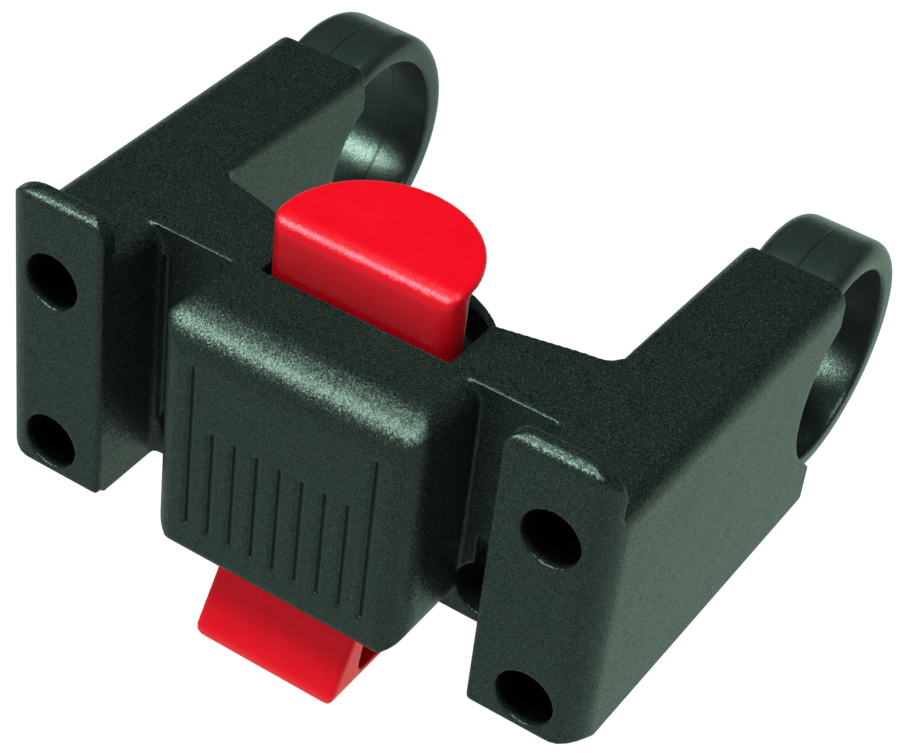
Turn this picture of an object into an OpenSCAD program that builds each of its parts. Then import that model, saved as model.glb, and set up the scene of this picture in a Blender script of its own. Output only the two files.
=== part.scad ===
// Bicycle handlebar bag mount. A moulded frame reaches forward from the handlebar on
// two arms, and two straps drawn up by long screws close round the bar behind them.
// The bag's plate slides down two channels beside the middle block, and a sprung latch
// below the block holds it until the button on top is pressed.
// The bar's axis is the X axis, the front faces -Y and the top +Z.

/* [Handlebar clamp] */
// Diameter of the handlebar
bar_d = 31.8; // [30:0.1:34]
// Width of each clamp strap
strap_w = 15.2; // [13.5:0.1:16]
// Thickness of the straps round the bar
strap_t = 5.2; // [4:0.1:6]
// Diameter of the clamp screws' shanks
screw_d = 5; // [4:0.5:5]
// Length of the clamp screws' shanks
screw_len = 40; // [34:1:42]
// Depth from the front face to the screw heads
head_depth = 14; // [9:0.5:16]
// Diameter of the screw holes in the flanges
head_bore_d = 9.8; // [9.2:0.1:11]

/* [Frame] */
// Width across both arms
frame_w = 108.2; // [104:0.2:120]
// Height of the frame
frame_h = 53.9; // [53:0.1:60]
// Distance from the bar's axis to the flanges' front face
reach = 79.3; // [78:0.1:95]
// Height of the flanges' top above the bar's axis
bar_drop = 31.3; // [30.5:0.1:32]
// Width of each front flange
flange_w = 19.3; // [18.5:0.1:21]
// Thickness of the flange plates above the arms
flange_t = 3.3; // [2.5:0.1:5]
// Drop from the flanges' top to the arms' top at the front
deck_drop = 7.4; // [6:0.1:8]
// Slope of the arms' top down to the back, in degrees
deck_slope = 1.5; // [0:0.1:2]
// Depth of the channels for the bag's plate
channel_depth = 14.2; // [12:0.1:16]
// Thickness of the web between the arms at its middle
web_t = 8.7; // [7:0.1:10]
// Width of each arm
arm_w = 18.4; // [17.4:0.1:19]
// Distance from the bar's axis to the arms' rear top edge
arm_setback = 7.9; // [7.5:0.1:9]

/* [Middle block] */
// Width of the block between the channels
block_w = 46.7; // [44:0.1:50]
// Distance that the block stands forward of the flanges
block_proud = 1.8; // [0:0.1:4]
// Thickness of the block's front wall
block_wall = 3.3; // [2.5:0.1:4]
// Radius of the block's top front edge
block_top_r = 7; // [3:0.1:8]
// Spacing of the grip grooves on the block's front
groove_pitch = 4.1; // [3.6:0.1:4.3]
// Depth of the grip grooves
groove_depth = 0.45; // [0.2:0.05:0.6]

/* [Release button] */
// Radius of the button's round rear edge
button_r = 16.4; // [15:0.1:17]
// Height of the button's top above the front of the block
button_rise = 10; // [8:0.1:12]
// Thickness of the button's top plate
button_plate_t = 1.5; // [1.2:0.1:2.5]
// Distance that the button can be pressed
button_travel = 6; // [4:0.1:6]

/* [Latch] */
// Width of the latch hook
latch_w = 26.4; // [22:0.1:28]
// Depth of the hook's underside below the frame
hook_drop = 15.9; // [13:0.1:18]
// Thickness of the hook's walls
hook_t = 2.5; // [2:0.1:3.5]
// Diameter of the latch's pivot pin
pin_d = 3; // [2.5:0.1:3.5]
// Angle that the latch swings back, in degrees
latch_swing = 8; // [5:0.5:8]

/* [Hidden] */
$fn = 64;

// Colours as the photograph shows them
black_plastic = [0.09, 0.10, 0.10];
red_plastic = [0.85, 0.06, 0.12];
steel = [0.62, 0.63, 0.65];

// Overrun of cuts past a surface, and clearance between pieces that move or slide
over = 1;
clear = 0.3;
// Sides of each rounded corner
arc_steps = 8;

// Levels and places that the pieces share, from the bar's axis
bar_r = bar_d / 2;
half_w = frame_w / 2;
front_y = -reach;
top_z = bar_drop;
foot_z = top_z - frame_h;
base_rise = 0.5;
base_z = foot_z + base_rise;
web_front_y = front_y + channel_depth;
web_rear_y = web_front_y + web_t;
web_flare_share = 0.245;
channel_x = half_w - flange_w;
block_x = block_w / 2;
block_front_y = front_y - block_proud;
deck_front_z = top_z - deck_drop;
function deck_z(y) = deck_front_z - (y - front_y) * tan(deck_slope);

// Corner radii of the frame
flange_top_r = 6.6;
flange_in_r = 3.5;
flange_base_r = 5.5;
flange_foot_r = 1.5;
flange_edge_r = 5.2;
flange_rim_r = 2;
flange_side_r = 0.8;
arm_edge_r = 3.9;
arm_base_r = 0.5;
arm_in_r = 3;
arm_end_r = 1;
web_fillet_r = 3;
channel_fillet_r = 1.5;
block_edge_r = 4.8;
block_side_r = 4.5;
block_base_r = 6.5;
block_foot_r = 2;

// Arms: the rear end leans out towards its foot, and two roundings fade away, one along
// the inner top edge towards the web and one at the flange's lower corner
arm_in_x = half_w - arm_w;
arm_root_y = web_rear_y + web_flare_share * arm_in_x;
arm_rear_y = -arm_setback;
rear_lean = 1.2;
in_edge_fade = 0.9;
foot_fade = 15;
foot_fade_len = 9;
saddle_relief = 5;
saddle_relief_drop = 9.6;
function arm_end_y(z) = arm_rear_y + (deck_z(arm_rear_y) - z) * tan(rear_lean);

// Clamp screws, straps and nuts
screw_x = half_w - flange_w / 2;
screw_z = bar_r + 0.2 * screw_d / 5;
head_d = 1.7 * screw_d;
head_h = screw_d;
socket_w = 0.8 * screw_d;
shoulder_y = front_y + head_depth + head_h;
tip_y = shoulder_y + screw_len;
nut_w = 1.6 * screw_d;
nut_t = 0.54 * screw_d;
nut_y = tip_y - 0.65 * screw_d;
shank_play = 0.25;
lug_h = nut_w + clear;
lug_w = 0.7 * strap_w;
lug_wall = 3.6;
lug_front_y = nut_y - nut_t / 2 - lug_wall;
lug_rear_y = nut_y + nut_t / 2 + lug_wall;
leg_t = strap_t - 2 * clear;
take_up = 6;
slot_front_y = lug_front_y - take_up;
strap_out_r = bar_r + strap_t;
strap_edge_r = strap_t / 2;
strap_play = 0.05;
strap_slack = 1.1;
strap_slack_y = -1.2;
strap_slack_z = 0.5;

// Cores that lighten the arms, open to the saddles
core_w = 11;
core_wall = 2.2;

// Openings and grooves beside the block
keyhole_shift = 0.6;
keyhole_x = (block_x + channel_x) / 2 - keyhole_shift;
keyhole_r = 0.9 * (channel_x - block_x) / 2;
keyhole_z = base_z + 1.35 * keyhole_r;
keyhole_slot_r = 0.45 * keyhole_r;
keyhole_slot_top = keyhole_z + 2.05 * keyhole_r;
side_groove_r = 0.8;
side_groove_inset = 1.5;
side_groove_x = channel_x - side_groove_inset;
side_groove_drop = 5.4;
side_groove_top = deck_front_z - side_groove_drop;

// Grip grooves: the outer two are long
groove_r = 0.7;
groove_count = 4;
groove_foot = 6.2;
groove_len = 20.8;
groove_long = 31.8;
groove_base_z = base_z + groove_foot;

// Well of the button: straight sides, and a round guide wall behind the web. A ledge
// narrows it to the button's body.
well_wall = 1.1;
button_play = 0.5;
well_y = web_front_y + well_wall;
button_y = well_y + button_play;
button_centre_y = button_y + 0.23 * button_r;
well_x = button_r + button_play;
well_r = button_r + 2.6;
guide_t = 1.4;
guide_r = well_r + guide_t;
guide_drop = 7.3;
guide_top_z = deck_front_z - guide_drop;
ledge_drop = 7.5;
ledge_z = guide_top_z - ledge_drop;
guided_len = 9;
button_base_z = ledge_z - guided_len;
well_floor_t = 3;
well_floor_z = button_base_z - button_travel - 4 * button_play;
guide_base_z = well_floor_z - well_floor_t;

// Button: a thin plate on a smaller hollow body
button_top_z = deck_front_z + button_rise;
slab_t = 4.6;
body_inset = 2.2;
body_r = button_r - body_inset;
body_wall = 2;
button_front_r = 3.2;
button_corner_r = 2.5;

// Latch and its pivot
pivot_back = 6.5;
pivot_drop = 26.6;
pivot_y = block_front_y + block_wall + pivot_back;
pivot_z = deck_front_z - pivot_drop;
pin_len = block_w - 2 * block_wall - clear;
pin_play = 0.08;
hub_r = 3.6;
nose_h = 14;
nose_back = 1.6;
nose_y = pivot_y + nose_back;
nose_z = pivot_z + nose_h;
nose_r = 1.8;
latch_play = 0.4;
cavity_wall = 1.3;
cavity_x = latch_w / 2 + latch_play;
cavity_front_y = block_front_y + block_wall;
cavity_rear_y = well_y - cavity_wall;
finger_x = 4.5;
stem_lead = 2.8;
stem_front_y = pivot_y - stem_lead;
hook_len = 14.6;
hook_lip = 1.8;
hook_corner_r = 2;
hook_gap = 2;
hook_base_z = base_z - hook_drop;
hook_toe_y = block_front_y;
hook_heel_y = hook_toe_y + hook_len;
ramp_top_z = base_z - hook_gap;
ramp_base_z = hook_base_z + hook_lip;

// Wedge on the button's front, which pushes the latch's finger forward
wedge_x = finger_x - 2 * clear;
wedge_rise = nose_h * sin(latch_swing) / button_travel;
wedge_gap = (nose_r + clear) / cos(atan(wedge_rise));
wedge_top_z = nose_z + button_travel + nose_r - clear;
wedge_base_z = nose_z - nose_r / 2;
function wedge_y(z) = nose_y + wedge_gap - wedge_rise * (z - nose_z);
cavity_top_z = wedge_top_z + clear;

// Springs
button_wire = 1;
button_turns = 8;
hollow_front_y = button_y + slab_t;
hollow_rear_y = button_centre_y + body_r - body_wall;
button_spring_y = (hollow_front_y + hollow_rear_y) / 2;
button_coil_r = (hollow_rear_y - hollow_front_y - button_wire) / 2 - 2 * clear;
button_roof_z = button_top_z - button_plate_t - body_wall;
latch_wire = 0.8;
latch_coil_r = 2.6;
latch_turns = 4;
latch_coil_x = latch_w / 4 - latch_play;
latch_coil_pitch = 1.1;
leg_reach = 8;
tube_sides = 8;
turn_steps = 16;

// Rounded outlines: each corner is [x, y] or [x, y, radius]
function unit(v) = v / norm(v);
function nearest_turn(a) = a > 180 ? a - 360 : a < -180 ? a + 360 : a;
function corner(a, b, c) =
    let (p = [b.x, b.y], r = len(b) > 2 ? b[2] : 0)
    r == 0 ? [p] :
    let (
        u = unit([a.x, a.y] - p),
        v = unit([c.x, c.y] - p),
        half = acos(u * v) / 2,
        centre = p + unit(u + v) * r / sin(half),
        first = p + u * r / tan(half) - centre,
        last = p + v * r / tan(half) - centre,
        start = atan2(first.y, first.x),
        turn = nearest_turn(atan2(last.y, last.x) - start)
    )
    [for (i = [0 : arc_steps]) centre + r * [cos(start + turn * i / arc_steps), sin(start + turn * i / arc_steps)]];
function rounded(c) =
    let (n = len(c))
    [for (i = [0 : n - 1]) each corner(c[(i + n - 1) % n], c[i], c[(i + 1) % n])];

// Outline in the Y-Z plane carried along X
module along_x(x0, x1) {
    translate([x0, 0, 0]) rotate([90, 0, 90]) linear_extrude(x1 - x0) children();
}

// Outline in the X-Z plane carried along Y
module along_y(y0, y1) {
    translate([0, y1, 0]) rotate([90, 0, 0]) linear_extrude(y1 - y0) children();
}

// Outline in the X-Y plane carried along Z
module along_z(z0, z1) {
    translate([0, 0, z0]) linear_extrude(z1 - z0) children();
}

// Round bar along X, about the point y, z
module rod_x(x0, x1, y, z, r) {
    translate([x0, y, z]) rotate([0, 90, 0]) cylinder(r = r, h = x1 - x0);
}

// Round bar along Y, about the point x, z
module rod_y(y0, y1, x, z, r) {
    translate([x, y1, z]) rotate([90, 0, 0]) cylinder(r = r, h = y1 - y0);
}

module both_sides() {
    children();
    mirror([1, 0, 0]) children();
}

// Wire swept along a path; ref is a direction that the path never follows
module wire(path, d, ref) {
    n = len(path);
    rings = [for (i = [0 : n - 1])
        let (
            t = unit(path[min(i + 1, n - 1)] - path[max(i - 1, 0)]),
            u = unit(cross(t, ref)),
            v = cross(t, u)
        )
        for (k = [0 : tube_sides - 1])
            path[i] + d / 2 * (cos(360 * k / tube_sides) * u + sin(360 * k / tube_sides) * v)];
    walls = [for (i = [0 : n - 2], k = [0 : tube_sides - 1])
        let (a = i * tube_sides + k, b = i * tube_sides + (k + 1) % tube_sides)
        each [[a, b, b + tube_sides], [a, b + tube_sides, a + tube_sides]]];
    ends = [
        [for (k = [tube_sides - 1 : -1 : 0]) k],
        [for (k = [0 : tube_sides - 1]) (n - 1) * tube_sides + k]
    ];
    polyhedron(rings, concat(walls, ends));
}

// Plan of one half of the web and its arm
module web_plan() {
    end_y = arm_end_y(foot_z);
    polygon(rounded([
        [0, web_front_y],
        [channel_x, web_front_y, channel_fillet_r],
        [channel_x, front_y + flange_t / 2],
        [half_w, front_y + flange_t / 2],
        [half_w, end_y],
        [arm_in_x, end_y],
        [arm_in_x, arm_root_y, web_fillet_r],
        [0, web_rear_y]
    ]));
}

// Plan of the arm alone, whose foot lies lower than the web's
module arm_plan() {
    end_y = arm_end_y(foot_z);
    polygon([
        [channel_x, front_y + flange_t / 2], [half_w, front_y + flange_t / 2],
        [half_w, end_y], [arm_in_x, end_y],
        [arm_in_x, arm_root_y], [channel_x, web_front_y]
    ]);
}

// Plan of the whole width, with the flanges' rounded outer edges
module front_plan() {
    polygon(rounded([
        [-half_w, front_y, flange_edge_r], [half_w, front_y, flange_edge_r],
        [half_w, over], [-half_w, over]
    ]));
}

// Side view of the arms
module arm_side() {
    polygon(rounded([
        [front_y, foot_z], [arm_end_y(foot_z), foot_z, arm_end_r],
        [arm_rear_y, deck_z(arm_rear_y), arm_end_r], [front_y, deck_front_z]
    ]));
}

// Web and arms, with rounded outer edges
module arms() {
    intersection() {
        union() {
            along_z(base_z, top_z) both_sides() web_plan();
            along_z(foot_z, deck_front_z - arm_in_r) both_sides() arm_plan();
        }
        along_z(foot_z, top_z) front_plan();
        along_x(-half_w, half_w) arm_side();
        translate([0, front_y, deck_front_z]) rotate([-deck_slope, 0, 0])
            along_y(-over, reach + over) polygon(rounded([
                [-half_w, -frame_h], [half_w, -frame_h],
                [half_w, 0, arm_edge_r], [-half_w, 0, arm_edge_r]
            ]));
        along_y(front_y - over, over) polygon(rounded([
            [-half_w, foot_z, arm_base_r], [half_w, foot_z, arm_base_r],
            [half_w, top_z], [-half_w, top_z]
        ]));
    }
}

// Cutter that rounds an edge lying on the Y axis, with the material towards +X and -Z
module edge_cutter(len_y, r) {
    along_y(-over, len_y) polygon(concat(
        [[-over, over], [r, over]],
        [for (i = [0 : arc_steps]) [r - r * sin(90 * i / arc_steps), -r + r * cos(90 * i / arc_steps)]],
        [[-over, -r]]
    ));
}

// Flange on the right: a plate that stands above the arm
module flange() {
    intersection() {
        along_y(front_y, front_y + flange_t) polygon(rounded([
            [channel_x, foot_z, flange_foot_r], [half_w, foot_z, arm_base_r],
            [half_w, top_z, flange_top_r], [channel_x, top_z, flange_in_r]
        ]));
        along_z(foot_z, top_z) intersection() {
            front_plan();
            polygon(rounded([
                [channel_x, front_y, flange_side_r], [half_w, front_y],
                [half_w, over], [channel_x, over]
            ]));
        }
        along_x(channel_x, half_w) polygon(rounded([
            [front_y, foot_z, flange_rim_r / 2], [front_y + 2 * flange_t, foot_z],
            [front_y + 2 * flange_t, top_z], [front_y, top_z, flange_rim_r]
        ]));
    }
}

// Middle block with grip grooves down its front
module block() {
    back_y = web_front_y + over;
    difference() {
        intersection() {
            along_z(base_z, top_z) polygon(rounded([
                [-block_x, back_y], [-block_x, block_front_y, block_edge_r],
                [block_x, block_front_y, block_edge_r], [block_x, back_y]
            ]));
            along_x(-block_x, block_x) polygon(rounded([
                [block_front_y, base_z, block_foot_r], [back_y, base_z],
                [back_y, deck_z(back_y)], [block_front_y, deck_z(block_front_y), block_top_r]
            ]));
            along_y(block_front_y, back_y) polygon(rounded([
                [-block_x, base_z, block_base_r], [block_x, base_z, block_base_r],
                [block_x, deck_front_z, block_side_r], [-block_x, deck_front_z, block_side_r]
            ]));
        }
        for (i = [-groove_count : groove_count]) grip_groove(i);
    }
}

module grip_groove(i) {
    translate([i * groove_pitch, block_front_y - groove_r + groove_depth, groove_base_z])
        cylinder(r = groove_r, h = abs(i) == groove_count ? groove_long : groove_len);
}

// Plan of the button's body, grown all round by g
module body_plan(g) {
    intersection() {
        translate([0, button_centre_y]) circle(body_r + g);
        translate([-button_r, button_y - g]) square([2 * button_r, 3 * button_r]);
    }
    polygon(rounded([
        [-button_r - g, button_y - g, button_corner_r], [button_r + g, button_y - g, button_corner_r],
        [button_r + g, button_y + slab_t + g], [-button_r - g, button_y + slab_t + g]
    ]));
}

// Round wall behind the web that guides the button, and the narrower cup below its ledge
module guide_wall() {
    intersection() {
        union() {
            along_z(ledge_z - guide_t, guide_top_z) translate([0, button_centre_y]) circle(guide_r);
            along_z(guide_base_z, ledge_z) body_plan(clear + guide_t);
        }
        along_z(base_z, top_z) translate([-guide_r, web_front_y + over]) square([2 * guide_r, 2 * guide_r]);
    }
}

// D-shaped well, narrower below its ledge
module button_well() {
    along_z(ledge_z, top_z) intersection() {
        translate([0, button_centre_y]) circle(well_r);
        translate([-well_x, well_y]) square([2 * well_x, 3 * well_r]);
    }
    along_z(well_floor_z, ledge_z + over) body_plan(clear);
}

// Room for the latch inside the block, and the window that the wedge reaches through
module latch_cavity() {
    along_x(-cavity_x, cavity_x) polygon(rounded([
        [cavity_front_y, base_z - over], [cavity_rear_y, base_z - over],
        [cavity_rear_y, cavity_top_z, over], [cavity_front_y, cavity_top_z, over]
    ]));
    along_x(-wedge_x - clear, wedge_x + clear) translate([cavity_rear_y - over, wedge_base_z - button_travel - clear])
        square([well_y - cavity_rear_y + 2 * over, wedge_top_z - wedge_base_z + button_travel + 2 * clear]);
}

// Cuts for one screw and strap end; level is 1 for the upper and -1 for the lower
module screw_cuts(level) {
    z = level * screw_z;
    slot_h = lug_h + 2 * clear;
    slot_w = lug_w + 2 * clear;
    rod_y(front_y - over, shoulder_y, screw_x, z, head_bore_d / 2);
    rod_y(shoulder_y - over, slot_front_y + over, screw_x, z, screw_d / 2 + shank_play);
    translate([screw_x - slot_w / 2, slot_front_y, z - slot_h / 2]) cube([slot_w, reach, slot_h]);
}

// Core between the two strap slots of an arm
module arm_core() {
    core_h = 2 * (screw_z - lug_h / 2 - clear - core_wall);
    core_y = shoulder_y + core_wall;
    translate([screw_x - core_w / 2, core_y, -core_h / 2]) cube([core_w, -core_y, core_h]);
}

// Round seat for the bar, eased at its lower lip
module saddles() {
    rod_x(-half_w - over, half_w + over, 0, 0, bar_r);
    along_x(-half_w - over, half_w + over) polygon([
        [-sqrt(bar_r * bar_r - saddle_relief_drop * saddle_relief_drop), -saddle_relief_drop],
        [arm_rear_y + over, -saddle_relief_drop - saddle_relief - over],
        [over, -saddle_relief_drop]
    ]);
}

module keyhole() {
    rod_y(web_front_y - over, arm_root_y + over, keyhole_x, keyhole_z, keyhole_r);
    translate([keyhole_x - keyhole_slot_r, web_front_y - over, keyhole_z])
        cube([2 * keyhole_slot_r, arm_root_y - web_front_y + 2 * over, keyhole_slot_top - keyhole_z]);
}

module side_groove() {
    groove_h = side_groove_top - keyhole_z;
    translate([side_groove_x, web_front_y, keyhole_z]) cylinder(r = side_groove_r, h = groove_h);
}

// Cut along an arm's inner top edge, which fades away towards the web
module inner_edge() {
    start_y = arm_root_y + over + web_fillet_r / 2;
    end_y = arm_end_y(deck_front_z) + over;
    translate([arm_in_x, end_y, deck_z(end_y)]) rotate([-deck_slope - in_edge_fade, 0, -in_edge_fade])
        translate([0, start_y - end_y, 0]) edge_cutter(end_y - start_y, arm_in_r);
}

// Cut that rounds a flange's lower outer corner, and fades away along the arm's foot
module foot_corner() {
    translate([half_w, front_y, foot_z]) rotate([0, 180, 0]) rotate([foot_fade, 0, foot_fade])
        edge_cutter(foot_fade_len, flange_base_r);
}

module main_frame() {
    color(black_plastic) difference() {
        union() {
            arms();
            both_sides() flange();
            block();
            guide_wall();
        }
        button_well();
        latch_cavity();
        saddles();
        rod_x(-block_x - over, block_x - block_wall, pivot_y, pivot_z, pin_d / 2 + strap_play);
        both_sides() {
            for (level = [-1, 1]) screw_cuts(level);
            arm_core();
            keyhole();
            side_groove();
            inner_edge();
            foot_corner();
            translate([channel_x, front_y + flange_t, deck_z(front_y + flange_t)]) rotate([-deck_slope, 0, 0])
                edge_cutter(web_front_y - front_y - flange_t, arm_in_r);
        }
    }
}

// Leg of a strap that slides in its arm and holds a nut
module strap_leg(level) {
    mid_z = level * screw_z;
    translate([-lug_w / 2, lug_rear_y - over, mid_z - leg_t / 2]) cube([lug_w, -lug_rear_y, leg_t]);
    translate([-lug_w / 2, lug_front_y, mid_z - lug_h / 2]) cube([lug_w, lug_rear_y - lug_front_y, lug_h]);
}

module strap_cuts(level) {
    mid_z = level * screw_z;
    slot_w = nut_w + clear;
    slot_t = nut_t + clear;
    rod_y(lug_front_y - over, arm_rear_y, 0, mid_z, screw_d / 2 + shank_play);
    translate([-slot_w / 2, nut_y - slot_t / 2, mid_z - lug_h]) cube([slot_w, slot_t, 2 * lug_h]);
}

module clamp_strap(side) {
    high = 2 * bar_r;
    color(black_plastic) translate([side * screw_x, 0, 0]) difference() {
        union() {
            intersection() {
                rotate([0, 90, 0]) rotate_extrude($fn = 96) polygon(rounded([
                    [bar_r - over, -strap_w / 2], [strap_out_r, -strap_w / 2, strap_edge_r],
                    [strap_out_r, strap_w / 2, strap_edge_r], [bar_r - over, strap_w / 2]
                ]));
                along_x(-strap_w, strap_w) polygon([
                    [arm_end_y(-high) + clear, -high], [2 * high, -high],
                    [2 * high, high], [arm_end_y(high) + clear, high]
                ]);
            }
            for (level = [-1, 1]) strap_leg(level);
        }
        rod_x(-strap_w, strap_w, 0, 0, bar_r + strap_play);
        rod_x(-strap_w, strap_w, strap_slack_y, strap_slack_z, bar_r + strap_slack);
        for (level = [-1, 1]) strap_cuts(level);
    }
}

module clamp_screw(side, level) {
    x = side * screw_x;
    z = level * screw_z;
    head_y = shoulder_y - head_h;
    color(steel) difference() {
        union() {
            rod_y(head_y, shoulder_y, x, z, head_d / 2);
            rod_y(shoulder_y - over, tip_y, x, z, screw_d / 2);
        }
        translate([x, head_y - over, z]) rotate([-90, 0, 0])
            cylinder(d = socket_w / cos(30), h = head_h / 2 + over, $fn = 6);
    }
}

module clamp_nut(side, level) {
    x = side * screw_x;
    z = level * screw_z;
    color(steel) difference() {
        translate([x - nut_w / 2, nut_y - nut_t / 2, z - nut_w / 2]) cube([nut_w, nut_t, nut_w]);
        rod_y(nut_y - nut_t, nut_y + nut_t, x, z, screw_d / 2 + strap_play);
    }
}

// Plan of the button's top: round behind, with straight sides to the rounded front corners
module plate_plan() {
    translate([0, button_centre_y]) intersection() {
        circle(button_r);
        translate([-button_r, 0]) square(2 * button_r);
    }
    polygon(rounded([
        [-button_r, button_y, button_corner_r], [button_r, button_y, button_corner_r],
        [button_r, button_centre_y + over / 2], [-button_r, button_centre_y + over / 2]
    ]));
}

// Button: plate and body share a rounded front edge
module release_button() {
    low_z = button_base_z;
    color(red_plastic) difference() {
        union() {
            intersection() {
                union() {
                    along_z(button_top_z - button_plate_t, button_top_z) plate_plan();
                    along_z(low_z, button_top_z - button_plate_t / 2) body_plan(0);
                }
                along_x(-button_r, button_r) polygon(rounded([
                    [button_y, low_z], [button_y + 3 * button_r, low_z],
                    [button_y + 3 * button_r, button_top_z], [button_y, button_top_z, button_front_r]
                ]));
            }
            along_x(-wedge_x, wedge_x) polygon([
                [button_y + over, wedge_base_z], [button_y + over, wedge_top_z],
                [wedge_y(wedge_top_z), wedge_top_z], [wedge_y(wedge_base_z), wedge_base_z]
            ]);
        }
        along_z(low_z - over, button_roof_z) intersection() {
            translate([0, button_centre_y]) circle(body_r - body_wall);
            translate([-button_r, hollow_front_y]) square([2 * button_r, 2 * button_r]);
        }
    }
}

// Compression spring from the well's floor to the button's roof, with closed end turns
module button_spring() {
    low = well_floor_z + button_wire / 2 + clear;
    high = button_roof_z - button_wire / 2 - clear;
    live = high - low - 2 * button_wire;
    steps = button_turns * turn_steps;
    function rise(t) = button_wire * (min(t, 1) + max(t - button_turns + 1, 0))
        + live * min(max(t - 1, 0), button_turns - 2) / (button_turns - 2);
    color(steel) wire([for (i = [0 : steps])
        let (t = i / turn_steps)
        [
            button_coil_r * cos(360 * t),
            button_spring_y + button_coil_r * sin(360 * t),
            low + rise(t)
        ]], button_wire, [0, 0, 1]);
}

// Side outline of the stem, ramp and sole of the hook
module hook_side() {
    polygon(rounded([
        [stem_front_y, pivot_z], [stem_front_y, ramp_top_z],
        [hook_toe_y, ramp_base_z], [hook_toe_y, hook_base_z, hook_t / 3],
        [hook_heel_y, hook_base_z, hook_t / 4], [hook_heel_y, hook_base_z + hook_t, hook_t / 4],
        [stem_front_y, hook_base_z + hook_t, hook_t / 2],
        [stem_front_y + hook_t, ramp_top_z], [stem_front_y + hook_t, pivot_z]
    ]));
}

module latch_hook() {
    side_x = latch_w / 2;
    coil_room = latch_coil_r + latch_wire + clear;
    coil_end = latch_coil_x + latch_turns * latch_coil_pitch;
    color(red_plastic) difference() {
        union() {
            intersection() {
                along_x(-side_x, side_x) hook_side();
                along_y(hook_toe_y, hook_heel_y) polygon(rounded([
                    [-side_x, hook_base_z, hook_corner_r], [side_x, hook_base_z, hook_corner_r],
                    [side_x, pivot_z], [-side_x, pivot_z]
                ]));
            }
            rod_x(-side_x, side_x, pivot_y, pivot_z, hub_r);
            rod_x(-finger_x, finger_x, nose_y, nose_z, nose_r);
            along_x(-finger_x, finger_x) polygon([
                [pivot_y - nose_r, pivot_z], [pivot_y + nose_r, pivot_z],
                [nose_y + 0.9 * nose_r, nose_z], [nose_y - 0.9 * nose_r, nose_z]
            ]);
            for (rib = [-1, 1]) hook_rib(rib);
        }
        rod_x(-side_x - over, side_x + over, pivot_y, pivot_z, pin_d / 2 + pin_play);
        translate([latch_coil_x - latch_wire, pivot_y - hub_r - over, pivot_z - coil_room])
            cube([coil_end - latch_coil_x + 2 * latch_wire, 2 * (hub_r + over), 2 * coil_room]);
    }
}

// Gusset between the ramp and the sole
module hook_rib(side) {
    along_x(side * latch_w / 4 - hook_t / 4, side * latch_w / 4 + hook_t / 4) polygon([
        [stem_front_y + hook_t / 2, ramp_top_z], [hook_heel_y - hook_t, hook_base_z + hook_t / 2],
        [stem_front_y - hook_t / 2, hook_base_z + hook_t / 2]
    ]);
}

module latch_pin() {
    end_x = block_x - block_wall - clear;
    color(steel) rod_x(end_x - pin_len, end_x, pivot_y, pivot_z, pin_d / 2);
}

// Torsion spring round the pin: one leg bears on the block's wall, one on the stem
module latch_spring() {
    steps = latch_turns * turn_steps;
    end_x = latch_coil_x + latch_turns * latch_coil_pitch;
    wall_y = cavity_front_y + latch_wire / 2 + clear;
    stem_y = stem_front_y + hook_t + latch_wire / 2 + clear;
    color(steel) wire(concat(
        [[latch_coil_x, wall_y, pivot_z + leg_reach]],
        [for (i = [0 : steps])
            let (t = i / turn_steps)
            [
                latch_coil_x + latch_coil_pitch * t,
                pivot_y - latch_coil_r * cos(360 * t * (1 + 0.5 / latch_turns)),
                pivot_z - latch_coil_r * sin(360 * t * (1 + 0.5 / latch_turns))
            ]],
        [[end_x, stem_y, pivot_z - leg_reach]]
    ), latch_wire, [1, 0, 0]);
}

main_frame();
clamp_strap(-1);  // clamp_strap_left
clamp_strap(1);  // clamp_strap_right
clamp_screw(-1, 1);  // screw_upper_left
clamp_screw(-1, -1);  // screw_lower_left
clamp_screw(1, 1);  // screw_upper_right
clamp_screw(1, -1);  // screw_lower_right
clamp_nut(-1, 1);  // nut_upper_left
clamp_nut(-1, -1);  // nut_lower_left
clamp_nut(1, 1);  // nut_upper_right
clamp_nut(1, -1);  // nut_lower_right
release_button();
button_spring();
latch_hook();
latch_pin();
latch_spring();
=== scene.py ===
"""Looks of the bicycle handlebar bag mount: materials, soft moulded edges, studio light and camera.

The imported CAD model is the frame. Everything here is in metres on the CAD's own axes: the origin is on the
handlebar's axis midway between the arms, the front faces -Y and the top +Z.
"""

import math

import bmesh
import bpy
from mathutils import Matrix, Vector


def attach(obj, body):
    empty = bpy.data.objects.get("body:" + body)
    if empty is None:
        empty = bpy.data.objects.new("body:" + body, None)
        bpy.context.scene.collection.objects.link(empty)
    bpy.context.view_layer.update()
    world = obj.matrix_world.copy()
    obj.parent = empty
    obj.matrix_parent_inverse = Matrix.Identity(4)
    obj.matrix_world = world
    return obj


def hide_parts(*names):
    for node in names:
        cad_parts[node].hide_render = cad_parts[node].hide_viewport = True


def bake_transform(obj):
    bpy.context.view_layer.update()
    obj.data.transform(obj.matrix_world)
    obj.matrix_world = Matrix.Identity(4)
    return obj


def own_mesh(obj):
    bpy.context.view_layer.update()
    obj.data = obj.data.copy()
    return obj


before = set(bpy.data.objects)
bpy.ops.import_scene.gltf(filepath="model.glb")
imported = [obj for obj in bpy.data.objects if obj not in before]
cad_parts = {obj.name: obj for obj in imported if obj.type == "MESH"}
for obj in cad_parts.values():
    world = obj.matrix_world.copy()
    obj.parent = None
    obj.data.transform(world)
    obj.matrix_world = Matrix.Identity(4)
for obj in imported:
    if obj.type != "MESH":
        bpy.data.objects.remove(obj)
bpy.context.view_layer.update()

MM = 0.001


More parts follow.
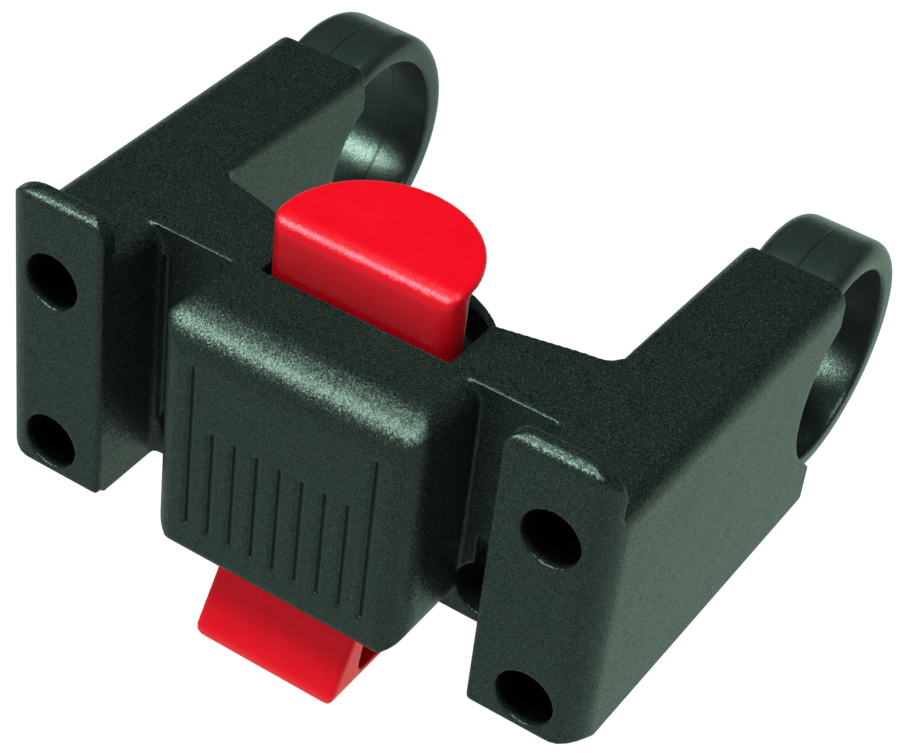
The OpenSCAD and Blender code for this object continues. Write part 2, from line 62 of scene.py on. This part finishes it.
class Value:
    """A shader socket that takes part in arithmetic: each operator adds one Math node."""

    def __init__(self, shader, socket):
        self.shader = shader
        self.socket = socket

    def maths(self, operation, *others):
        """A Math node whose first value is this one."""
        return self.shader.maths(operation, self, *others)

    def __add__(self, other):
        return self.maths("ADD", other)

    def __sub__(self, other):
        return self.maths("SUBTRACT", other)

    def __rsub__(self, other):
        return self.shader.maths("SUBTRACT", other, self)

    def __mul__(self, other):
        return self.maths("MULTIPLY", other)

    def __pow__(self, other):
        return self.maths("POWER", other)

    __radd__ = __add__
    __rmul__ = __mul__

    def size(self):
        """This value without its sign."""
        return self.maths("ABSOLUTE")

    def larger(self, other):
        return self.maths("MAXIMUM", other)

    def above(self, limit):
        return self.maths("GREATER_THAN", limit)

    def below(self, limit):
        return self.maths("LESS_THAN", limit)

    def ramp(self, low, high, from_low=0.0, from_high=1.0):
        """This value carried smoothly from one range to another, and held at its ends."""
        sockets = {"Value": self, 1: from_low, 2: from_high, 3: low, 4: high}
        return self.shader.node("ShaderNodeMapRange", {"interpolation_type": "SMOOTHSTEP"}, sockets)

    def rise(self, start, end):
        """Zero before start and one after end."""
        return self.ramp(0.0, 1.0, start, end)

    def fall(self, start, end):
        """One before start and zero after end."""
        return self.ramp(1.0, 0.0, start, end)


class Shader:
    """A new material and the means to add nodes to it."""

    def __init__(self, name):
        self.material = bpy.data.materials.new(name)
        self.material.use_nodes = True
        self.tree = self.material.node_tree
        self.tree.nodes.clear()
        self.output = self.tree.nodes.new("ShaderNodeOutputMaterial")

    def node(self, kind, settings=None, sockets=None, output=0):
        """Adds a node: its settings first, then its sockets' values or links. Returns one of its outputs."""
        made = self.tree.nodes.new(kind)
        for key, value in (settings or {}).items():
            setattr(made, key, value)
        for key, value in (sockets or {}).items():
            if isinstance(value, Value):
                self.tree.links.new(value.socket, made.inputs[key])
            else:
                made.inputs[key].default_value = value
        return Value(self, made.outputs[output])

    def maths(self, operation, *values):
        return self.node("ShaderNodeMath", {"operation": operation}, dict(enumerate(values)))

    def vectors(self, operation, sockets):
        return self.node("ShaderNodeVectorMath", {"operation": operation}, sockets)

    def place(self):
        return self.node("ShaderNodeTexCoord", output="Object")

    def axis(self, name):
        """One coordinate of the point that is shaded."""
        return self.node("ShaderNodeSeparateXYZ", {}, {0: self.place()}, output=name)

    def gap(self, axis, place):
        """How far a point's coordinate is from a place that is mirrored on both sides of the origin."""
        return (self.axis(axis).size() - place).size()

    def noise(self, size, detail, roughness, offset=0.0):
        """Noise whose features are about size metres across."""
        vector = self.vectors("ADD", {0: self.place(), 1: (offset, offset, offset)})
        sockets = {"Vector": vector, "Scale": 1 / size, "Detail": detail, "Roughness": roughness}
        return self.node("ShaderNodeTexNoise", {}, sockets)

    def grain(self, size):
        """The unevenness of a moulded skin, for a bump."""
        return self.noise(size, detail=2.0, roughness=0.6)

    def cloud(self, size):
        """Broad patches, for a colour or a roughness."""
        return self.noise(size, detail=3.0, roughness=0.6, offset=CLOUD_OFFSET)

    def points(self, start, end, offset):
        """Small points: more of them, and larger, the lower start and end are."""
        return self.noise(POINT_SIZE, detail=1.0, roughness=0.5, offset=offset).rise(start, end)

    def mix(self, factor, first, second):
        """Blend of two colours."""
        return self.node("ShaderNodeMix", {"data_type": "RGBA"}, {0: factor, 6: first, 7: second}, output=2)

    def either(self, factor, first, second):
        """Blend of two shaders."""
        return self.node("ShaderNodeMixShader", {}, {0: factor, 1: first, 2: second})

    def mesh_normal(self):
        return self.node("ShaderNodeNewGeometry", output="Normal")

    def soft_edges(self, radius):
        """A normal that turns round the mesh's edges as if they were rounded to a radius."""
        return self.node("ShaderNodeBevel", {"samples": EDGE_SAMPLES}, {"Radius": radius})

    def bump(self, height, distance, strength, normal):
        sockets = {"Height": height, "Distance": distance, "Strength": strength, "Normal": normal}
        return self.node("ShaderNodeBump", {}, sockets)

    def facets(self, tilt, normal):
        """A normal tilted at random from one small cell to the next, as the points of a grain are."""
        sockets = {"Vector": self.place(), "Scale": 1 / POINT_SIZE}
        cells = self.node("ShaderNodeTexVoronoi", {}, sockets, output="Color")
        offset = self.vectors("SUBTRACT", {0: cells, 1: (0.5, 0.5, 0.5)})
        turned = self.vectors("SCALE", {0: offset, "Scale": tilt})
        return self.vectors("NORMALIZE", {0: self.vectors("ADD", {0: normal, 1: turned})})

    def emission(self, colour):
        return self.node("ShaderNodeEmission", {}, {"Color": colour})

    def principled(self, **sockets):
        """A Principled shader. Keys are socket names with _ for a space."""
        named = {key.replace("_", " "): value for key, value in sockets.items()}
        return self.node("ShaderNodeBsdfPrincipled", {}, named)

    def end(self, shaded):
        """Ends the material in one shader."""
        self.tree.links.new(shaded.socket, self.output.inputs["Surface"])
        return self.material


# Materials

BLACK_TINT = (0.85, 1.0, 0.93, 1)
DARK_POINT = (0.0008, 0.0011, 0.0010, 1)
PALE_POINT = (0.0175, 0.0210, 0.0192, 1)
# Painted glint: the colour of the sparse bright points painted onto the black plastic.
PAINTED_GLINT = (0.080, 0.098, 0.088, 1)
# Painted shade: the dark colour laid into the bores and the grip grooves' bottoms.
UNLIT = (0.003, 0.004, 0.0035, 1)
STRAP_DARK = (0.0110, 0.0130, 0.0120, 1)
STRAP_PALE = (0.0230, 0.0265, 0.0250, 1)
STRAP_LINE = (0.0030, 0.0036, 0.0033, 1)
RED_TINT = (1.0, 0.50, 0.68, 1)
DEEP_RED = (0.76, 0.0012, 0.0090, 1)
BRIGHT_RED = (0.86, 0.0022, 0.0130, 1)
DULL_ZINC = (0.50, 0.50, 0.52, 1)
BRIGHT_ZINC = (0.62, 0.62, 0.63, 1)

EDGE_SAMPLES = 4
CLOUD_OFFSET = 0.3
POINTS_OFFSET = 0.7
PAINTED_GLINTS_OFFSET = 1.9
POINT_SIZE = 0.22 * MM
GRAIN_SIZE = 0.42 * MM

FRAME_POINTS = (0.40, 0.62)
FRAME_PAINTED_GLINTS = (0.66, 0.76)
FRAME_ROUGHNESS = (0.33, 0.38)
FRAME_IOR = 1.44
FRAME_CLOUD = 9 * MM
FRAME_GRAIN_DEPTH = 0.03 * MM
FRAME_TILT = 0.24
BROAD_EDGE = 2.2 * MM

STRAP_POINTS = (0.34, 0.70)
STRAP_ROUGHNESS = (0.27, 0.33)
STRAP_IOR = 1.5
STRAP_CLOUD = 7 * MM
STRAP_GRAIN_DEPTH = 0.02 * MM
STRAP_TILT = 0.07
STRAP_EDGE = 0.6 * MM
STRAP_LINE_X = 44.4 * MM
STRAP_LINE_CORE = 0.08 * MM
STRAP_LINE_HALF_W = 0.24 * MM
STRAP_LINE_DEPTH = 0.10 * MM
STRAP_LINE_SHADE = 0.6

RED_ROUGHNESS = (0.27, 0.34)
RED_IOR = 1.38
RED_CLOUD = 6 * MM
RED_GRAIN_SIZE = 0.5 * MM
RED_GRAIN_DEPTH = 0.03 * MM
RED_TILT = 0.10
RED_EDGE = 0.9 * MM

ZINC_ROUGHNESS = (0.26, 0.42)
ZINC_CLOUD = 2 * MM
ZINC_GRAIN_SIZE = 0.2 * MM
ZINC_GRAIN_DEPTH = 0.006 * MM
ZINC_EDGE = 0.25 * MM

FADE = 2 * MM
BLOCK_HALF_W = 24 * MM
BLOCK_FILLET_Z = 17 * MM
BLOCK_Y = -68 * MM
ARMS_Y = -45 * MM
ARMS_REAR_Y = -12 * MM

BORE_X = 44.45 * MM
BORE_Z = 16.1 * MM
BORE_R = 4.9 * MM
BORE_SHADE_IN = 0.1 * MM
BORE_SHADE_OUT = 0.4 * MM
FLANGE_Y = -79.3 * MM
BORE_SHADE_START = 0.5 * MM
BORE_SHADE_FULL = 1.5 * MM

GROOVES_Y = -80.2 * MM
GROOVES_HALF_W = 18 * MM
GROOVE_PITCH = 4.1 * MM
GROOVE_HALF_W = 0.32 * MM
GROOVE_CORE = 0.4
GROOVE_FOOT_Z = -15.9 * MM
GROOVE_TOP_Z = 4.9 * MM
GROOVE_END = 0.5 * MM
GROOVE_SHADE = 0.75
LONG_GROOVES_X = 14.4 * MM
LONG_GROOVE_MORE = 11 * MM


def bores(s):
    """One inside the flanges' four bores, where little light reaches; shade is painted there."""
    off_axis = (s.gap("X", BORE_X) ** 2.0 + s.gap("Z", BORE_Z) ** 2.0) ** 0.5
    depth = s.axis("Y").rise(FLANGE_Y + BORE_SHADE_START, FLANGE_Y + BORE_SHADE_FULL)
    return off_axis.fall(BORE_R + BORE_SHADE_IN, BORE_R + BORE_SHADE_OUT) * depth


def grooves(s):
    """One along the grip grooves' bottoms, where shade is painted; the outer two grooves are longer."""
    across = s.axis("X").size()
    near = across.maths("PINGPONG", GROOVE_PITCH / 2).fall(GROOVE_CORE * GROOVE_HALF_W, GROOVE_HALF_W)
    within = across.below(GROOVES_HALF_W) * s.axis("Y").below(GROOVES_Y)
    top = across.above(LONG_GROOVES_X) * LONG_GROOVE_MORE + GROOVE_TOP_Z
    under_top = (top - s.axis("Z")).rise(0.0, GROOVE_END)
    over_foot = (s.axis("Z") - GROOVE_FOOT_Z).rise(0.0, GROOVE_END)
    return near * within * under_top * over_foot


def broad_edges(s):
    """One on the block's upper front edge and along the arms, whose edges are the broadest."""
    middle = s.axis("X").size().fall(BLOCK_HALF_W, BLOCK_HALF_W + FADE)
    high = s.axis("Z").rise(BLOCK_FILLET_Z - FADE, BLOCK_FILLET_Z)
    front = s.axis("Y").fall(BLOCK_Y - FADE, BLOCK_Y)
    behind_web = s.axis("Y").rise(ARMS_Y, ARMS_Y + FADE)
    before_rear = s.axis("Y").fall(ARMS_REAR_Y - FADE, ARMS_REAR_Y)
    return (behind_web * before_rear).larger(middle * high * front)


def moulded_black():
    """Black plastic from a spark-eroded mould: a grain of dark and pale points, with sparse painted glints
    (bright points painted into the colour).
    """
    s = Shader("moulded_black")
    grain = s.grain(GRAIN_SIZE)
    roughness = s.cloud(FRAME_CLOUD).ramp(*FRAME_ROUGHNESS)
    colour = s.mix(s.points(*FRAME_POINTS, POINTS_OFFSET), DARK_POINT, PALE_POINT)
    # Painted glints: sparse bright points painted into the colour, standing in for highlights.
    colour = s.mix(s.points(*FRAME_PAINTED_GLINTS, PAINTED_GLINTS_OFFSET), colour, PAINTED_GLINT)
    look = {"Base_Color": colour, "Roughness": roughness, "IOR": FRAME_IOR, "Specular_Tint": BLACK_TINT}
    skins = []
    for shape in (s.mesh_normal(), s.soft_edges(BROAD_EDGE)):
        normal = s.facets(FRAME_TILT, s.bump(grain, FRAME_GRAIN_DEPTH, 1.0, shape))
        skins.append(s.principled(Normal=normal, **look))
    # Painted shade: a dark matt shader laid into the bores and along the grip grooves' bottoms.
    unlit = s.node("ShaderNodeBsdfDiffuse", {}, {"Color": UNLIT})
    dark = bores(s).larger(grooves(s) * GROOVE_SHADE)
    return s.end(s.either(dark, s.either(broad_edges(s), *skins), unlit))


def strap_black():
    """Black plastic of the straps: smoother than the frame, with the faint line of their mould."""
    s = Shader("strap_black")
    grain = s.grain(GRAIN_SIZE)
    roughness = s.cloud(STRAP_CLOUD).ramp(*STRAP_ROUGHNESS)
    line = s.gap("X", STRAP_LINE_X).fall(STRAP_LINE_CORE, STRAP_LINE_HALF_W)
    colour = s.mix(s.points(*STRAP_POINTS, POINTS_OFFSET), STRAP_DARK, STRAP_PALE)
    colour = s.mix(line * STRAP_LINE_SHADE, colour, STRAP_LINE)
    lined = s.bump(line, STRAP_LINE_DEPTH, 1.0, s.soft_edges(STRAP_EDGE))
    normal = s.facets(STRAP_TILT, s.bump(grain, STRAP_GRAIN_DEPTH, 0.8, lined))
    look = {"Base_Color": colour, "Roughness": roughness, "IOR": STRAP_IOR, "Specular_Tint": BLACK_TINT}
    return s.end(s.principled(Normal=normal, **look))


def moulded_red():
    """Saturated red plastic with a satin moulded surface."""
    s = Shader("moulded_red")
    cloud = s.cloud(RED_CLOUD)
    colour = s.mix(cloud, DEEP_RED, BRIGHT_RED)
    roughness = cloud.ramp(*RED_ROUGHNESS)
    skin = s.bump(s.grain(RED_GRAIN_SIZE), RED_GRAIN_DEPTH, 0.7, s.soft_edges(RED_EDGE))
    normal = s.facets(RED_TILT, skin)
    look = {"Base_Color": colour, "Roughness": roughness, "IOR": RED_IOR, "Specular_Tint": RED_TINT}
    return s.end(s.principled(Normal=normal, **look))


def plated_steel():
    """Zinc-plated steel: bright, with a fine grain and dull patches."""
    s = Shader("plated_steel")
    cloud = s.cloud(ZINC_CLOUD)
    colour = s.mix(cloud, DULL_ZINC, BRIGHT_ZINC)
    roughness = cloud.ramp(*ZINC_ROUGHNESS)
    normal = s.bump(s.grain(ZINC_GRAIN_SIZE), ZINC_GRAIN_DEPTH, 0.6, s.soft_edges(ZINC_EDGE))
    return s.end(s.principled(Base_Color=colour, Roughness=roughness, Metallic=1.0, Normal=normal))


# Studio

FLOOR_Z = -90 * MM
FLOOR_HALF_SIZE = 3000 * MM
FLOOR_GREY = (0.8, 0.8, 0.8, 1)
SHADE_SHARE = 0.1
FLOOR_GLOW = 0.95
# Painted shadow and painted light on the floor, seen only by gloss: dim at the front left, bright behind.
FLOOR_DARK = (0.34, 0.52, 0.43, 1)
FLOOR_BRIGHT = (0.55, 0.80, 0.65, 1)
GLOSS_SLANT = 0.5
GLOSS_NEAR = -160 * MM
GLOSS_FAR = 60 * MM
WHITE = (1, 1, 1, 1)
LAMP_TINT = (0.75, 1.0, 0.87)
LAMP_DISTANCE = 900 * MM
OVERHEAD_SIZE = 450 * MM
KEY_SIZE = 340 * MM
SHEEN_SIZE = 260 * MM
ROOM_TINT = (0.70, 1.0, 0.84, 1)
ROOM_LEVEL = 0.07


def floor_white():
    """A pale floor that the camera sees as white. Gloss sees painted light on it: dim at the front left,
    where a shadow is painted, and bright behind.
    """
    s = Shader("floor_white")
    seen = s.node("ShaderNodeLightPath", output="Is Camera Ray")
    glossy = s.node("ShaderNodeLightPath", output="Is Glossy Ray")
    far = (s.axis("X") * GLOSS_SLANT + s.axis("Y")).rise(GLOSS_NEAR, GLOSS_FAR)
    # Painted shadow and light for gloss: an emission that runs from dim at the front left to bright behind.
    sheen = s.emission(s.mix(far, FLOOR_DARK, FLOOR_BRIGHT))
    matt = s.principled(Base_Color=FLOOR_GREY, Specular_IOR_Level=0.0, Emission_Strength=FLOOR_GLOW)
    lit = s.either(glossy, matt, sheen)
    return s.end(s.either(seen * (1 - SHADE_SHARE), lit, s.emission(WHITE)))


def floor():
    half = FLOOR_HALF_SIZE
    mesh = bpy.data.meshes.new("floor")
    corners = [(x, y, FLOOR_Z) for x, y in ((-half, -half), (half, -half), (half, half), (-half, half))]
    mesh.from_pydata(corners, [], [(0, 1, 2, 3)])
    mesh.materials.append(floor_white())
    made = bpy.data.objects.new("floor", mesh)
    bpy.context.scene.collection.objects.link(made)


def soft_box(name, size, azimuth, elevation, radiance, gloss_only=False):
    """A round lamp that faces the part from a direction: azimuth from the front towards +X, in degrees."""
    a = math.radians(azimuth)
    e = math.radians(elevation)
    direction = Vector((math.sin(a) * math.cos(e), -math.cos(a) * math.cos(e), math.sin(e)))
    lamp = bpy.data.lights.new(name, "AREA")
    lamp.shape = "DISK"
    lamp.size = size
    lamp.energy = radiance * math.pi * math.pi * (size / 2) ** 2
    lamp.color = LAMP_TINT
    made = bpy.data.objects.new(name, lamp)
    made.visible_diffuse = not gloss_only
    made.location = LOOK_AT + direction * LAMP_DISTANCE
    made.rotation_euler = direction.to_track_quat("Z", "Y").to_euler()
    bpy.context.scene.collection.objects.link(made)


def world_light():
    """A dim even room that the camera sees as white."""
    world = bpy.data.worlds.new("studio")
    world.use_nodes = True
    tree = world.node_tree
    tree.nodes.clear()
    output = tree.nodes.new("ShaderNodeOutputWorld")
    path = tree.nodes.new("ShaderNodeLightPath")
    room = tree.nodes.new("ShaderNodeBackground")
    room.inputs["Color"].default_value = ROOM_TINT
    room.inputs["Strength"].default_value = ROOM_LEVEL
    white = tree.nodes.new("ShaderNodeBackground")
    white.inputs["Strength"].default_value = 1.0
    mixed = tree.nodes.new("ShaderNodeMixShader")
    tree.links.new(path.outputs["Is Camera Ray"], mixed.inputs[0])
    tree.links.new(room.outputs[0], mixed.inputs[1])
    tree.links.new(white.outputs[0], mixed.inputs[2])
    tree.links.new(mixed.outputs[0], output.inputs["Surface"])
    bpy.context.scene.world = world


# Camera: solved from the part's own straight edges in the photograph

LOOK_AT = Vector((5.21, -68.02, 12.60)) * MM
LOOK_AZIMUTH = math.radians(30.61)
LOOK_ELEVATION = math.radians(40.57)
LOOK_ROLL = math.radians(5.88)
LOOK_DISTANCE = 408.53 * MM
PHOTO_WIDTH = 900
PHOTO_HEIGHT = 753
FOCAL_PX = 2765.5
CENTRE_PX = (361.19, 399.65)
SENSOR = 36.0
CLIP_START = 10 * MM
CLIP_END = 20000 * MM


def photo_camera():
    forward = Vector((
        -math.sin(LOOK_AZIMUTH) * math.cos(LOOK_ELEVATION),
        math.cos(LOOK_AZIMUTH) * math.cos(LOOK_ELEVATION),
        -math.sin(LOOK_ELEVATION),
    ))
    level_right = forward.cross(Vector((0, 0, 1))).normalized()
    level_up = level_right.cross(forward)
    right = math.cos(LOOK_ROLL) * level_right + math.sin(LOOK_ROLL) * level_up
    up = -math.sin(LOOK_ROLL) * level_right + math.cos(LOOK_ROLL) * level_up
    turn = Matrix((right, up, -forward)).transposed().to_4x4()
    data = bpy.data.cameras.new("photo_camera")
    data.sensor_width = SENSOR
    data.lens = FOCAL_PX / PHOTO_WIDTH * SENSOR
    data.shift_x = 0.5 - CENTRE_PX[0] / PHOTO_WIDTH
    data.shift_y = (CENTRE_PX[1] - PHOTO_HEIGHT / 2) / PHOTO_WIDTH
    data.clip_start = CLIP_START
    data.clip_end = CLIP_END
    made = bpy.data.objects.new("photo_camera", data)
    made.matrix_world = Matrix.Translation(LOOK_AT - forward * LOOK_DISTANCE) @ turn
    bpy.context.scene.collection.objects.link(made)
    bpy.context.scene.camera = made


# Shapes

SAME_POINT = 0.001 * MM
FINE_VOXEL = 0.30 * MM
VOXEL = 0.35 * MM
FRAME_TRIANGLES = 190000
PIECE_TRIANGLES = 60000


def merged(mesh):
    """A copy of a mesh with its doubled points made one."""
    work = bmesh.new()
    work.from_mesh(mesh)
    bmesh.ops.remove_doubles(work, verts=work.verts, dist=SAME_POINT)
    copy = bpy.data.meshes.new(f"{mesh.name}_merged")
    work.to_mesh(copy)
    work.free()
    return copy


def settled(made):
    """The object's mesh with its modifiers worked in."""
    return bpy.data.meshes.new_from_object(made.evaluated_get(bpy.context.evaluated_depsgraph_get()))


def moulded(node, body, material, voxel, passes, triangles=PIECE_TRIANGLES):
    """Replaces a CAD node by a copy whose edges run into each other softly, as a mould leaves them."""
    made = bpy.data.objects.new(f"{node}_moulded", merged(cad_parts[node].data))
    bpy.context.scene.collection.objects.link(made)
    cells = made.modifiers.new("cells", "REMESH")
    cells.mode = "VOXEL"
    cells.voxel_size = voxel
    cells.use_smooth_shade = True
    soft = made.modifiers.new("soft", "SMOOTH")
    soft.iterations = passes
    count = sum(len(face.vertices) - 2 for face in settled(made).polygons)
    fewer = made.modifiers.new("fewer", "DECIMATE")
    fewer.ratio = min(1.0, triangles / count)
    mesh = settled(made)
    made.modifiers.clear()
    mesh.materials.clear()
    mesh.materials.append(material)
    made.data = mesh
    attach(made, body)
    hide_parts(node)
    return made


def copied(node, material):
    """Replaces a CAD node by a copy with a merged mesh and the given material."""
    made = bpy.data.objects.new(f"{node}_bending", merged(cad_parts[node].data))
    bpy.context.scene.collection.objects.link(made)
    made.data.materials.clear()
    made.data.materials.append(material)
    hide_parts(node)
    return made


def springs(material):
    """Copies of the button's spring and the latch's spring: the button's is attached to the frame with a
    mesh of its own, the latch's has its place worked into its mesh.
    """
    lift = copied("button_spring", material)
    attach(lift, "frame")
    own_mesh(lift)
    swing = copied("latch_spring", material)
    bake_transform(swing)


def dress(material, *nodes):
    """Gives CAD nodes a material."""
    for name in nodes:
        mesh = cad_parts[name].data
        mesh.materials.clear()
        mesh.materials.append(material)


# Making

photo_camera()

frame_plastic = moulded_black()
strap_plastic = strap_black()
red_plastic = moulded_red()
steel = plated_steel()

moulded("main_frame", "frame", frame_plastic, FINE_VOXEL, passes=3, triangles=FRAME_TRIANGLES)
button = moulded("release_button", "button", red_plastic, VOXEL, passes=6)
button.visible_glossy = False
moulded("latch_hook", "latch", red_plastic, FINE_VOXEL, passes=12)
for side in ("left", "right"):
    moulded(f"clamp_strap_{side}", "frame", strap_plastic, VOXEL, passes=4)
springs(steel)
dress(steel, "latch_pin")
for height in ("upper", "lower"):
    for side in ("left", "right"):
        dress(steel, f"screw_{height}_{side}", f"nut_{height}_{side}")

floor()
world_light()
soft_box("overhead", OVERHEAD_SIZE, azimuth=0, elevation=82, radiance=23.0)
soft_box("front_left_key", KEY_SIZE, azimuth=-32, elevation=40, radiance=4.2)
soft_box("front_left_sheen", SHEEN_SIZE, azimuth=-32, elevation=42, radiance=62.0, gloss_only=True)

bpy.context.scene.view_settings.view_transform = "Standard"
